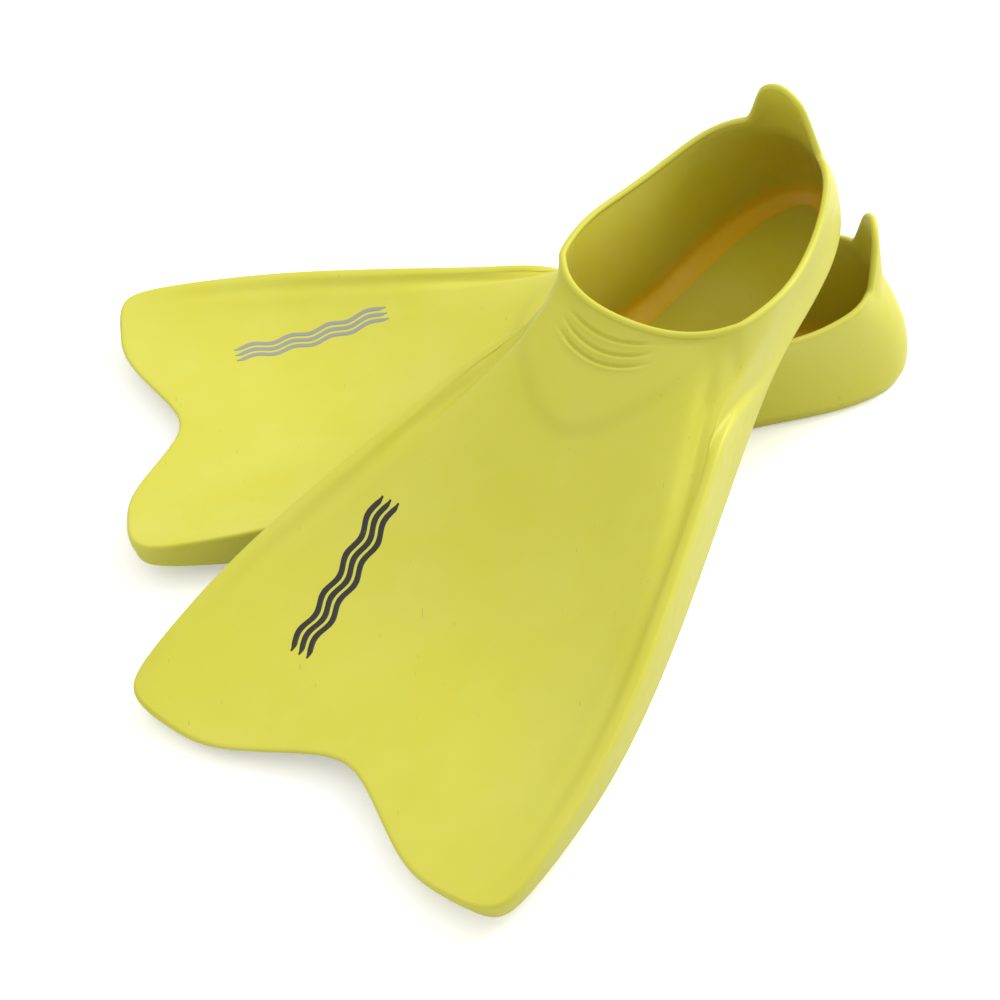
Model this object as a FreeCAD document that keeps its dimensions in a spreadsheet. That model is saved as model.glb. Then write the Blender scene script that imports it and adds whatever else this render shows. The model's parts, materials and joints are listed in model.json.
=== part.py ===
"""A pair of short full-foot training fins in silicone, one leaning on the other.

Each fin is one soft moulding. Its skin is worked out as rings of control points that run round the
foot opening: the first ring is the collar, the next ones cross the instep, the dished blade and the
tops of the side rails, and the last ones go down the outside to the sole. The foot pocket's inside is
a second set of rings. The moulding is then divided where it bends, so that the zones can move.

A fin is drawn with its heel at x = 0, its tip at +x, its sole on z = 0, and is symmetric in y.
"""
import FreeCAD, Part
import math
import os
from FreeCAD import Placement, Rotation, Vector

doc = FreeCAD.newDocument("SwimFins")

# ---- driving dimensions, in millimetres and degrees ----

SIZES = [
    # the outline seen from above
    ("fin_length", 397.0, "heel to the tips of the tail"),
    ("tail_width", 206.0, "widest place of the tail"),
    ("tail_notch", 27.0, "depth of the hollow in the middle of the trailing edge"),
    ("ball_width", 110.0, "outside width where the rails leave the pocket"),
    ("waist_width", 69.0, "outside width under the arch"),
    ("heel_width", 71.0, "outside width of the heel"),
    # the foot pocket
    ("ball_place", 150.0, "heel to the widest part of the foot"),
    ("opening_back", 28.0, "heel to the back of the foot opening"),
    ("opening_front", 152.0, "heel to the front of the foot opening"),
    ("opening_width", 100.0, "inside width of the foot opening"),
    ("instep_height", 66.0, "height of the collar over the instep"),
    ("side_height", 57.0, "height of the collar beside the ankle"),
    ("heel_height", 74.0, "height of the collar behind the heel"),
    ("toe_room", 250.0, "heel to the end of the space for the toes"),
    ("wall", 3.0, "thickness of the collar wall"),
    ("instep_wall", 4.0, "thickness over the instep"),
    ("footbed", 5.0, "thickness under the foot"),
    ("sole_round", 8.0, "how far the sole's edge is drawn in"),
    ("bead_height", 2.4, "height of the rolled edge above the lip"),
    ("bead_overhang", 0.9, "how far the rolled edge stands out from the wall"),
    # the blade
    ("vamp_reach", 150.0, "length of the slope from the collar down to the blade"),
    ("web", 4.5, "thickness of the blade between its rails"),
    ("tip_rise", 14.3, "height of the blade's top at the tip"),
    ("rail_root", 40.0, "height of a rail above the blade at the foot"),
    ("rail_tip", 11.4, "height of a rail above the blade at the tail"),
    ("rail_top", 5.0, "width of the flat on top of a rail"),
    ("rail_foot", 12.0, "width of a rail where it meets the blade"),
    ("rail_bevel", 7.0, "how far a rail's lower edge is drawn in"),
    ("sole_length", 235.0, "heel to where the underside starts to rise"),
    ("flex_place", 273.0, "heel to the middle of the bending zone"),
    ("flex_length", 30.0, "length of the bending zone"),
    # the pull tab on the heel
    ("tab_height", 30.0, "length of the tab above the collar"),
    ("tab_width", 32.0, "width of the tab"),
    ("tab_thick", 4.0, "thickness of the tab"),
    ("tab_lean", 4.0, "angle by which the tab leans forward"),
    ("tab_gap", 0.4, "slot between the tab's foot and the collar"),
    # the printed mark
    ("mark_length", 80.0, "length of the printed mark"),
    ("mark_width", 11.0, "width of one printed wave"),
    ("mark_thick", 0.3, "thickness of the print"),
    # how the two fins lie
    ("lower_turn", 189.3, "direction of the lower fin's tip"),
    ("upper_turn", 232.4, "direction of the upper fin's tip"),
    ("upper_pitch", 15.3, "slope of the upper fin, heel up"),
    ("upper_roll", 1.9, "tilt of the upper fin"),
    ("upper_x", -51.8, "upper fin's heel, from the lower fin's heel"),
    ("upper_y", 3.6, "upper fin's heel, from the lower fin's heel"),
    ("upper_z", 99.5, "upper fin's heel above the floor"),
]

sheet = doc.addObject("Spreadsheet::Sheet", "Sizes")
for row, (alias, value, meaning) in enumerate(SIZES, start=1):
    sheet.set(f"A{row}", meaning)
    sheet.set(f"B{row}", str(value))
    sheet.setAlias(f"B{row}", alias)
doc.recompute()


def size(alias):
    """The value of one named cell."""
    return float(getattr(sheet, alias))


L = size("fin_length")
BALL = size("ball_place")
FRONT = size("opening_front")
BACK = size("opening_back")
TOE = size("toe_room")
FLEX_FROM = size("flex_place") - size("flex_length") / 2
FLEX_TO = size("flex_place") + size("flex_length") / 2
BELOW = -10.0  # the rings go this far under the sole before they are cut flat


# ---- curves ----

def spline(points):
    """A cubic curve that starts and ends on its first and last control points."""
    spans = len(points) - 3
    curve = Part.BSplineCurve()
    ends = [4] + [1] * (spans - 1) + [4]
    curve.buildFromPolesMultsKnots([Vector(*p) for p in points], ends, range(spans + 1), False, 3)
    return curve


def smooth(value, low, high):
    """0 below low, 1 above high, and an even curve between."""
    t = min(1.0, max(0.0, (value - low) / (high - low)))
    return t * t * (3 - 2 * t)


def mix(a, b, t):
    """A point or number that is the share t of the way from a to b."""
    return a + (b - a) * t


def outline():
    """Half of the moulding's outline from above: heel, waist, rail, tail lobe and notch."""
    ball, tail = size("ball_width") / 2, size("tail_width") / 2
    heel, waist = size("heel_width") / 2, size("waist_width") / 2
    blade = L - BALL
    rail = [
        (BALL + blade * along, mix(ball, tail, out))
        for along, out in ((0.2, 0.31), (0.445, 0.68), (0.69, 0.975), (0.9, 1.0))
    ]
    notch = L - size("tail_notch")
    lobe = [(L + 1, tail * 0.985), (L, tail * 0.69), (L, tail * 0.475), (notch, tail * 0.1), (notch, 0)]
    foot = [(-1.3, 0), (-1.3, heel * 0.44), (BALL * 0.27, heel), (BALL * 0.6, waist), (BALL, ball)]
    return spline([(x, y, 0) for x, y in foot + rail + lobe])


def collar():
    """Half of the foot opening's inner edge, from the heel round to the instep."""
    half, long = size("opening_width") / 2, FRONT - BACK
    top, side, heel = size("instep_height") - 2, size("side_height"), size("heel_height")
    return spline([
        (BACK, 0, heel),
        (BACK, half * 0.5, heel),
        (BACK + long * 0.2, half * 0.76, side),
        (BACK + long * 0.445, half * 0.94, side + 0.5),
        (BACK + long * 0.855, half * 1.11, top + 4),
        (FRONT, half * 0.54, top),
        (FRONT, 0, top),
    ])


def foot_shape():
    """Half of the space for the foot, from above, at the height of the instep's sides."""
    inset = size("wall") + 1.5
    ball, heel, waist = size("ball_width") / 2, size("heel_width") / 2, size("waist_width") / 2
    return spline([
        (inset - 1.3, 0, 0),
        (inset - 1.3, heel * 0.37, 0),
        (BALL * 0.27, heel - inset, 0),
        (BALL * 0.6, waist - inset, 0),
        (BALL, ball - 2 * inset, 0),
        (mix(BALL, TOE, 0.5), ball - 2 * inset, 0),
        (TOE - 2, ball * 0.62, 0),
        (TOE, ball * 0.18, 0),
        (TOE, 0, 0),
    ])


EDGE, RIM, FOOT = outline(), collar(), foot_shape()
STATIONS = [0.5 * k for k in range(2 * 11 + 1)]  # along EDGE, from the heel to the notch
WALLS = 3.0  # up to here on EDGE the three curves run side by side


def beside(t, spans, ease):
    """The place on a shorter curve that stands beside place t on EDGE."""
    if t <= WALLS:
        return t
    return WALLS + (spans - WALLS) * ((t - WALLS) / (11 - WALLS)) ** ease


def half_width(x):
    """Half the moulding's width at x, on the rail side of the outline."""
    low, high = 2.0, 8.0
    for _ in range(30):
        middle = (low + high) / 2
        low, high = (middle, high) if EDGE.value(middle).x < x else (low, middle)
    return EDGE.value(low).y


# ---- heights ----

def blade_top(x):
    """Top of the blade between the rails, which rises towards the tip."""
    start = size("web") + 1.5
    return start + (size("tip_rise") - start) * (max(0.0, x - BALL) / (L - BALL)) ** 2


def underside(x):
    """Underside of the moulding: level under the foot, then rising with the blade."""
    start = size("sole_length")
    return (size("tip_rise") - size("web")) * (max(0.0, x - start) / (L - start)) ** 1.5


def centre_top(x):
    """Top of the moulding on its centre line: the instep's slope, then the blade."""
    left = max(0.0, 1 - max(0.0, x - FRONT) / size("vamp_reach"))
    return blade_top(x) + (size("instep_height") - blade_top(FRONT)) * left ** 1.6


def rail_height(x):
    """Top of a rail."""
    along = min(1.0, max(0.0, (x - BALL) / (L - BALL)) * 1.11)
    height = mix(size("rail_root"), size("rail_tip"), along)
    return blade_top(x) + height * (1 - 0.3 * smooth(x, L * 0.93, L))


def top(x, y):
    """Top of the moulding between the rails: a dome at the instep that turns into a dish."""
    inner = half_width(x) - size("rail_top")
    across = min(1.0, abs(y) / inner) ** 3.6
    return mix(centre_top(x), rail_height(x), across)


def ceiling(x, y):
    """Inside of the pocket over the toes."""
    side = min(1.0, abs(y) / (size("ball_width") / 2)) ** 3
    high = centre_top(x) - size("instep_wall")
    return mix(high, mix(size("footbed"), high, 0.65), side)


# ---- rings ----

def outward(curve, t, turn=0.02):
    """The direction out of an outline, level with the floor."""
    ahead = curve.value(min(t + turn, curve.LastParameter)) - curve.value(max(t - turn, 0))
    return Vector(ahead.y, -ahead.x, 0).normalize() * -1


def station(t):
    """The collar, edge and foot points that belong together, and two directions."""
    rim_at, foot_at = beside(t, 4, 0.7), beside(t, 6, 0.8)
    return {
        "rim": RIM.value(rim_at),
        "edge": EDGE.value(t),
        "foot": FOOT.value(foot_at),
        "rim_out": outward(RIM, rim_at),
        "edge_out": outward(EDGE, t),
        "foot_out": outward(FOOT, foot_at),
    }


def at(point, height):
    """The same place from above, at another height."""
    return Vector(point.x, point.y, height)


GIRDLE = 22.0  # the heel is fullest at this height


def fronting(place):
    """0 beside the ankle, where the skin is a wall, and 1 in front, where it is the instep or the blade."""
    return smooth(place["edge"].x, BALL * 0.7, BALL * 1.2)


def edge_top(place):
    """Height of the outer edge: the heel's fullest line, then the rail's top, then the blade's at the tail."""
    edge = place["edge"]
    return mix(GIRDLE, top(edge.x, edge.y), fronting(place))


def top_point(place, share):
    """A point of the upper skin, a share of the way from the collar (0) to the outer edge (1)."""
    edge, out = place["edge"], place["edge_out"]
    rim = place["rim"] + place["rim_out"] * size("wall")
    wall = at(mix(rim, edge, math.sin(share * math.pi / 2)), mix(rim.z, GIRDLE, share))
    flat = mix(rim, edge - out * size("rail_top"), min(1.0, share / FLAT_FROM))
    front = at(flat, top(flat.x, flat.y))
    if share == 0:
        return rim
    if share == 1:
        return at(edge, edge_top(place))
    return mix(wall, front, fronting(place))


def side_point(place, share):
    """A point of the outer side, a share of the way down from the edge (0) to the sole (1)."""
    edge = place["edge"]
    blade = smooth(edge.x, BALL * 1.1, BALL * 1.75)
    drawn_in = mix(size("sole_round"), size("rail_bevel"), blade) * smooth(share, 0.4, 1.0)
    return at(edge - place["edge_out"] * drawn_in, mix(edge_top(place), underside(edge.x), share))


FLAT_FROM = 0.94  # the rail's flat top starts at this share of the upper skin
ACROSS = [0, 0.12, 0.35, 0.6, 0.8, FLAT_FROM, 1]
DOWN = [0.35, 0.7, 0.95]


def pocket_point(place, level):
    """One point of the inside, from the collar (0) over the ceiling down to the footbed (1)."""
    rim, foot, out = place["rim"], place["foot"], place["foot_out"]
    front, floor = fronting(place), size("footbed")
    if level == 0:
        return rim
    if level < 0.7:
        share = level / 0.7
        wall_point = at(mix(rim, foot, math.sin(share * math.pi / 2)), mix(rim.z, GIRDLE, share))
        plan = mix(rim, foot, share)
        return mix(wall_point, at(plan, ceiling(plan.x, plan.y)), front)
    if level < 1:
        high = mix(GIRDLE, ceiling(foot.x, foot.y), front)
        return at(foot, mix(high, floor, (level - 0.7) / 0.3))
    return at(foot - out * 4.0, floor)


POCKET = [0, 0.18, 0.4, 0.6, 0.72, 0.86, 1]


def through(ring):
    """Control points of a closed curve that passes the points of a ring."""
    count = len(ring)
    bend = [ring[k - 1] - ring[k] * 2 + ring[(k + 1) % count] for k in range(count)]
    return [ring[k] - bend[k] / 6 for k in range(count)]


def both_sides(points):
    """A whole ring from its half on the +y side."""
    mirrored = [Vector(p.x, -p.y, p.z) for p in points[1:-1]]
    return points + mirrored[::-1]


def loop(points):
    """Control points of a closed curve that passes the points of a half ring and their mirror."""
    return through(both_sides(points))


def surface(rings, degree=3):
    """A closed band through rings of control points, as one face; degree 1 runs straight across."""
    around, up = len(rings[0]), len(rings) - degree
    skin = Part.BSplineSurface()
    poles = [[ring[k] for ring in rings] for k in range(around)]
    ends = degree + 1
    skin.buildFromPolesMultsKnots(
        poles, [1] * (around + 1), [ends] + [1] * (up - 1) + [ends],
        range(around + 1), range(up + 1), True, False, 3, degree,
    )
    return skin.toShape()


def lowest_edge(face):
    """The lower one of a band's two closed edges."""
    return min([e for e in face.Edges if e.isClosed()], key=lambda e: e.CenterOfMass.z)


def closed_solid(shell):
    """A solid from faces that close, with its outside facing out."""
    shell.sewShape()
    solid = Part.Solid(shell if shell.ShapeType == "Shell" else shell.Shells[0])
    if solid.Volume < 0:
        solid.reverse()
    return solid


def moulding():
    """The whole fin as one solid, with the space for the foot."""
    places = [station(t) for t in STATIONS]
    upper = [loop([top_point(p, share) for p in places]) for share in ACROSS]
    outer = [upper[-1]] + [loop([side_point(p, share) for p in places]) for share in DOWN]
    outer.append([at(p, BELOW) for p in outer[-1]])  # upright below the sole, where it is cut away
    inner = [loop([pocket_point(p, level) for p in places]) for level in POCKET]
    outside, inside, lip = surface(outer), surface(inner), surface([upper[0], inner[0]], 1)
    sole, floor = [Part.Face(Part.Wire([lowest_edge(face)])) for face in (outside, inside)]
    return closed_solid(Part.makeShell([surface(upper), outside, inside, lip, sole, floor]))



# ---- the pieces of one fin, drawn in its own frame ----

def feature(name, shape):
    """Adds a shape worked out here to the document."""
    piece = doc.addObject("Part::Feature", name)
    piece.Shape = shape
    return piece


def boolean(kind, name, base, tool):
    """A Cut or a Common of two objects of the document."""
    piece = doc.addObject(f"Part::{kind}", name)
    piece.Base, piece.Tool = base, tool
    return piece


def zone_box(name, start, end, low="-Sizes.instep_height", high="Sizes.instep_height * 2"):
    """A box across the whole fin between two places along it and two heights, all as expressions."""
    box = doc.addObject("Part::Box", name)
    for cell, value in (
        ("Placement.Base.x", start), ("Length", f"({end}) - ({start})"),
        ("Placement.Base.y", "-Sizes.tail_width"), ("Width", "Sizes.tail_width * 2"),
        ("Placement.Base.z", low), ("Height", f"({high}) - ({low})"),
    ):
        box.setExpression(cell, value)
    return box


def under_the_sole():
    """What is cut away below the underside."""
    start, tip, low = size("sole_length"), L + 20, BELOW * 3
    rise = Part.BSplineCurve()
    rise.interpolate([Vector(x, 0, underside(x)) for x in [mix(start, tip, k / 8) for k in range(9)]])
    flat = Part.makePolygon([
        rise.EndPoint, Vector(tip, 0, low), Vector(-60, 0, low), Vector(-60, 0, 0), rise.StartPoint,
    ])
    face = Part.Face(Part.Wire(flat.Edges + [rise.toShape()]))
    width = size("tail_width")
    return face.extrude(Vector(0, 2 * width, 0)).translated(Vector(0, -width, 0))


def between_rails():
    """The upright block inside the rails, which parts them from the blade."""
    inner = size("rail_foot")
    marks = [mix(BALL, L, share) for share in (0.25, 0.5, 0.75, 0.93)]
    side = [Vector(x, half_width(x) - inner, 0) for x in marks]
    side.append(Vector(L + 20, side[-1].y, 0))
    line = Part.BSplineCurve()
    line.interpolate(side)
    left = line.toShape()
    right = left.mirror(Vector(0, 0, 0), Vector(0, 1, 0))
    start, end = side[0], side[-1]
    ends = [Part.makeLine(Vector(p.x, p.y, 0), Vector(p.x, -p.y, 0)) for p in (start, end)]
    face = Part.Face(Part.Wire(Part.__sortEdges__([left, right] + ends)))
    return face.extrude(Vector(0, 0, 100)).translated(Vector(0, 0, -20))


def bead():
    """The rolled edge of the collar: a band that sits on the lip and stands out on both sides."""
    places = [station(t) for t in STATIONS]
    out, high, wall = size("bead_overhang"), size("bead_height"), size("wall")
    section = [
        (0, 0), (-out, high * 0.25), (-out, high * 0.65), (0.3 * wall, high),
        (0.7 * wall, high), (wall + out, high * 0.65), (wall + out, high * 0.25), (wall, 0),
    ]
    rings = [
        loop([p["rim"] + p["rim_out"] * aside + Vector(0, 0, up) for p in places]) for aside, up in section
    ]
    bands = [surface([rings[k - 1], rings[k]], 1) for k in range(len(rings))]
    return closed_solid(Part.makeShell(bands))


def waves():
    """The printed mark seen from above: three stacked waves, cut from a plate that is thick enough."""
    length, wide = size("mark_length"), size("mark_width")
    plates = []
    for row in (-1, 0, 1):
        points = [
            Vector(length * (k / 8 - 0.5), row * wide * 0.36 + wide * 0.1 * (-1) ** k, 0) for k in range(9)
        ]
        line = Part.BSplineCurve()
        line.interpolate(points)
        half = Vector(0, wide * 0.09, 0)
        upper, lower = line.toShape().translated(half), line.toShape().translated(-half)
        caps = [Part.makeLine(p + half, p - half) for p in (points[0], points[-1])]
        face = Part.Face(Part.Wire(Part.__sortEdges__([upper, lower] + caps)))
        plates.append(face.extrude(Vector(0, 0, 60)))
    place = Placement(Vector(MARK_X, MARK_Y, 0), Rotation(Vector(0, 0, 1), MARK_TURN))
    mark = Part.makeCompound(plates)
    mark.Placement = place
    return mark


MARK_X, MARK_Y, MARK_TURN = 300.0, -56.0, 12.5

body = feature("moulding", moulding())
under = feature("under_the_sole", under_the_sole())
fin = boolean("Cut", "trimmed_moulding", body, under)

BACK_END, TIP_END = "-Sizes.heel_width", "Sizes.fin_length * 1.2"
HEEL_END = "Sizes.ball_place * 0.4"
SIDE_END = "Sizes.opening_front - Sizes.wall * 4"
BEND_START = "Sizes.flex_place - Sizes.flex_length / 2"
BEND_END = "Sizes.flex_place + Sizes.flex_length / 2"
over = {"low": "Sizes.footbed"}
ZONES = {
    "sole": zone_box("sole_zone", BACK_END, BEND_START, high="Sizes.footbed"),
    "heel_cup": zone_box("heel_zone", BACK_END, HEEL_END, **over),
    "side_walls": zone_box("side_zone", HEEL_END, SIDE_END, **over),
    "toe_box": zone_box("toe_zone", SIDE_END, BEND_START, **over),
    "flex_zone": zone_box("bending_zone", BEND_START, BEND_END),
    "outer_blade": zone_box("blade_zone", BEND_END, TIP_END),
}
zones = {name: boolean("Common", name, fin, box) for name, box in ZONES.items()}
inner_block = feature("between_rails", between_rails())
blade = boolean("Common", "blade", zones["outer_blade"], inner_block)
rails = boolean("Cut", "rails", zones["outer_blade"], inner_block)
collar_bead = feature("collar_bead", bead())
doc.recompute()

# the pull tab: a plate with a round foot, which bends forward and back on the collar
tab_plate = doc.addObject("Part::Box", "tab_plate")
tab_plate.setExpression("Length", "Sizes.tab_thick")
tab_plate.setExpression("Width", "Sizes.tab_width")
tab_plate.setExpression("Height", "Sizes.tab_height")
doc.recompute()


def edges_of(shape, test):
    """Numbers of the edges whose middle passes a test, as a fillet wants them."""
    return [n for n, e in enumerate(shape.Edges, start=1) if test(e.CenterOfMass)]


thick, tall = size("tab_thick"), size("tab_height")
corner = size("tab_width") * 0.36
tops = edges_of(tab_plate.Shape, lambda c: abs(c.x - thick / 2) < 0.1 and c.z > tall - 0.1)
tab_round = doc.addObject("Part::Fillet", "tab_round")
tab_round.Base = tab_plate
tab_round.Edges = [(n, corner, corner) for n in tops]
doc.recompute()
soft = thick * 0.45
faces_round = edges_of(tab_round.Shape, lambda c: c.z < 0.1 and abs(c.x - thick / 2) > 0.1)
faces_round += edges_of(tab_round.Shape, lambda c: c.z > 0.1 and abs(c.x - thick / 2) > 0.1)
heel_tab = doc.addObject("Part::Fillet", "heel_tab")
heel_tab.Base = tab_round
heel_tab.Edges = [(n, soft, soft) for n in faces_round]
hinge_height = size("heel_height") + size("bead_height") + size("tab_gap") + thick / 2
turn = Rotation(Vector(0, 1, 0), size("tab_lean"))
foot_middle = Vector(thick / 2, size("tab_width") / 2, thick / 2)
hinge = Vector(BACK - size("wall") / 2, 0, hinge_height)
heel_tab.Placement = Placement(hinge - turn.multVec(foot_middle), turn)

raised = feature("raised_skin", fin.Shape.translated(Vector(0, 0, size("mark_thick"))))
plate = feature("mark_plate", waves())
mark_blank = boolean("Common", "mark_blank", raised, plate)
mark = boolean("Cut", "printed_mark", mark_blank, fin)
doc.recompute()



def left_and_right(shape):
    """The two solids of a shape, left (+y) first."""
    return sorted(shape.Solids, key=lambda solid: -solid.CenterOfMass.y)


left_side, right_side = left_and_right(zones["side_walls"].Shape)
left_rail, right_rail = left_and_right(rails.Shape)
PIECES = [
    ("sole", zones["sole"].Shape),
    ("heel_cup", zones["heel_cup"].Shape),
    ("left_side", left_side),
    ("right_side", right_side),
    ("toe_box", zones["toe_box"].Shape),
    ("collar_bead", collar_bead.Shape),
    ("heel_tab", heel_tab.Shape),
    ("flex_zone", zones["flex_zone"].Shape),
    ("blade", blade.Shape),
    ("left_rail", left_rail),
    ("right_rail", right_rail),
    ("printed_mark", mark.Shape),
]

# ---- the two fins, as they lie ----

def pose(turn, pitch, roll, base):
    """A fin's place: rolled about its length, pitched about its width, then turned."""
    spin = Rotation(Vector(0, 0, 1), turn).multiply(Rotation(Vector(0, 1, 0), pitch))
    return Placement(base, spin.multiply(Rotation(Vector(1, 0, 0), roll)))


lower = pose(size("lower_turn"), 0, 0, Vector(0, 0, 0))
upper_base = Vector(size("upper_x"), size("upper_y"), size("upper_z"))
upper = pose(size("upper_turn"), size("upper_pitch"), size("upper_roll"), upper_base)


def corners(shapes):
    """Lowest and highest corner of some shapes, from their facets."""
    points = [p for s in shapes for p in s.tessellate(0.2)[0]]
    low = Vector(*[min(p[k] for p in points) for k in range(3)])
    return low, Vector(*[max(p[k] for p in points) for k in range(3)])


def placed(shape, place):
    """A copy of a shape moved by a placement."""
    copy = shape.copy()
    copy.Placement = place.multiply(shape.Placement)
    return copy


low, high = corners([placed(s, p) for p in (lower, upper) for _, s in PIECES])
middle = Vector((low.x + high.x) / 2, (low.y + high.y) / 2, low.z)
print("whole pair", low - middle, high - middle)

nodes = []
for side, place in (("lower_fin", lower), ("upper_fin", upper)):
    there = Placement(place.Base - middle, place.Rotation)
    print(side, "heel at", there.Base, "hinges:")
    print("  blade", there.multVec(Vector(size("flex_place"), 0, 10)), there.Rotation.multVec(Vector(0, 1, 0)))
    print("  tab", there.multVec(hinge))
    for name, shape in PIECES:
        node = doc.addObject("Part::Feature", f"{side}_{name}")
        node.Shape = shape
        node.Label = f"{side}_{name}"
        node.Placement = there.multiply(shape.Placement)
        nodes.append(node)
doc.recompute()

# ---- checks, then the files ----

for item in doc.Objects:
    if "Invalid" in item.State or "Error" in item.State:
        raise RuntimeError(f"{item.Label} did not build: {item.State}")
for node in nodes:
    if node.Shape.isNull() or not node.Shape.isValid() or not node.Shape.Solids:
        raise RuntimeError(f"{node.Label} is not a sound solid")

os.makedirs("parts", exist_ok=True)
for node in nodes:
    node.Shape.exportStep(os.path.join("parts", node.Label + ".step"))
    print(f"{node.Label:28s} {node.Shape.Volume / 1000:8.2f} cm3, {len(node.Shape.Solids)} solid(s)")
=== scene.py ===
"""A pair of short silicone training fins: one lies on its sole, the other leans on it with its heel up.

Each fin is one soft moulding, a shoe-shaped pocket with a rolled collar and a pull tab, and a dished blade
between two side rails. A fin is drawn in millimetres in its own frame, with its heel at x = 0, its tip at
+x and its sole on z = 0, and becomes metres when it is put in its place. It is symmetric in y, but for its
tab, its grooves and its print.
"""
import json
import math

import bmesh
import bpy
import numpy as np
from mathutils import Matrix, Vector


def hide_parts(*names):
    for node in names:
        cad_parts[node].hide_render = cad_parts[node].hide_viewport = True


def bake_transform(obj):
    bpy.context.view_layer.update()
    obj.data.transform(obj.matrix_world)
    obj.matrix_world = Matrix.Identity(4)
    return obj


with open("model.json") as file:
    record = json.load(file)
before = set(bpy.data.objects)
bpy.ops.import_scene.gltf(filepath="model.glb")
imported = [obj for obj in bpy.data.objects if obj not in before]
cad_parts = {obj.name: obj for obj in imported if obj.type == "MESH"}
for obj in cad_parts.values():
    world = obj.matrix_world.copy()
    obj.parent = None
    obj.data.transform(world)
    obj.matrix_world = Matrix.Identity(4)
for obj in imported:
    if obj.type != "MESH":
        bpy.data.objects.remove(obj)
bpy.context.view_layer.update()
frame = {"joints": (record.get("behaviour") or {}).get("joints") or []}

# ---- how the two fins lie ----
# The lower fin lies flat. The upper one is turned, rests its tail on the floor and its arch over the other
# one's collar. Their places follow from the hinge lines of their blades and tabs.

FINS = ("lower", "upper")
MM = 0.001
TAB_HINGE = np.array([26.5, 0.0, 78.8])
BLADE_HINGE = np.array([273.0, 0.0, 10.0])
joints = {joint["name"]: joint for joint in frame["joints"]}


def unit(vectors):
    """The same directions with length 1: each vector over its own length."""
    return vectors / np.maximum(np.linalg.norm(vectors, axis=-1, keepdims=True), 1e-12)


def fin_place(side):
    """A fin's three directions as columns, and its heel: y is the blade's hinge line, and x and z are the
    line between the two hinges and its normal, turned by the angle which that line has in the fin's frame."""
    blade, tab = joints[f"{side}_blade_flex"], joints[f"{side}_tab_bend"]
    across = unit(np.array(blade["axis"]))
    line = unit(np.array(blade["pos_m"]) - np.array(tab["pos_m"]))
    cosine, _, sine = unit(BLADE_HINGE - TAB_HINGE)
    normal = np.cross(line, across)
    axes = np.stack([cosine * line - sine * normal, across, sine * line + cosine * normal], axis=1)
    return axes, np.array(blade["pos_m"]) - axes @ BLADE_HINGE * MM


PLACES = {side: fin_place(side) for side in FINS}


def in_place(points, side):
    """Points of a fin's own frame, in millimetres, as metres of the pair: turned by the fin's directions
    and moved to its heel."""
    axes, heel = PLACES[side]
    return np.asarray(points) @ axes.T * MM + heel


# ---- the fin's outlines ----
# Three closed lines shape the moulding: its outer edge seen from above, the inner edge of the foot opening,
# and the space for the foot. Each is half a curve, heel to tip, which the other half mirrors.

LENGTH, TAIL_WIDTH, NOTCH = 397.0, 206.0, 27.0
BALL_WIDTH, WAIST_WIDTH, HEEL_WIDTH, BALL = 110.0, 73.0, 71.0, 150.0
OPEN_BACK, OPEN_FRONT, OPEN_WIDTH = 28.0, 152.0, 100.0
INSTEP, ANKLE, HEEL_TOP, TOE_END = 66.0, 57.0, 74.0, 250.0
WALL, INSTEP_WALL, FOOTBED, SOLE_ROUND = 3.0, 4.0, 5.0, 3.5
VAMP, WEB, TIP_RISE = 150.0, 4.5, 14.3
RAIL_ROOT, RAIL_TIP, RAIL_TOP, RAIL_BEVEL = 40.0, 11.4, 5.0, 3.0
SOLE_LENGTH, GIRDLE = 235.0, 12.0


def clamped(t, count):
    """Cubic basis of a curve that starts on the first and ends on the last of its control points: the
    Cox-de Boor recurrence on a knot row whose ends are repeated. One column for each control point."""
    spans = count - 3
    knots = np.concatenate([[0] * 3, np.arange(spans + 1), [spans] * 3]).astype(float)
    t = np.clip(np.asarray(t, float), 0, spans - 1e-9)
    basis = [((low <= t) & (t < high)).astype(float) for low, high in zip(knots[:-1], knots[1:])]
    for degree in (1, 2, 3):
        wide = [knots[k + degree] - knots[k] for k in range(len(basis))]
        rising = [(t - knots[k]) / width if width else 0 * t for k, width in enumerate(wide)]
        basis = [rising[k] * basis[k] + (1 - rising[k + 1]) * basis[k + 1] for k in range(len(basis) - 1)]
    return np.stack(basis, axis=-1)


def along(points, t):
    """The curve of some control points at t: the basis times the points."""
    points = np.array(points, float)
    return clamped(t, len(points)) @ points


def mix(a, b, t):
    """The share t of the way from a to b."""
    return a + (b - a) * t


def smooth(value, low, high):
    """0 below low, 1 above high, and 3t^2 - 2t^3 between."""
    t = np.clip((value - low) / (high - low), 0, 1)
    return t * t * (3 - 2 * t)


HALF_BALL, HALF_TAIL, HALF_HEEL, HALF_WAIST = BALL_WIDTH / 2, TAIL_WIDTH / 2, HEEL_WIDTH / 2, WAIST_WIDTH / 2
HALF_OPEN, OPEN_LONG, BLADE = OPEN_WIDTH / 2, OPEN_FRONT - OPEN_BACK, LENGTH - BALL
COLLAR_TOP, INSET = INSTEP - 2, WALL + 1.5
EDGE = [(-1.3, 0, 0), (-1.3, HALF_HEEL * 0.44, 0), (BALL * 0.27, HALF_HEEL, 0)]
EDGE += [(BALL * 0.6, HALF_WAIST, 0), (BALL, HALF_BALL, 0)]
EDGE += [
    (BALL + BLADE * ahead, mix(HALF_BALL, HALF_TAIL, out), 0)
    for ahead, out in ((0.2, 0.31), (0.445, 0.68), (0.69, 0.975), (0.9, 1.0))
]
EDGE += [(LENGTH + 1, HALF_TAIL * 0.985, 0), (LENGTH, HALF_TAIL * 0.69, 0), (LENGTH, HALF_TAIL * 0.475, 0)]
EDGE += [(LENGTH - NOTCH, HALF_TAIL * 0.1, 0), (LENGTH - NOTCH, 0, 0)]
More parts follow.
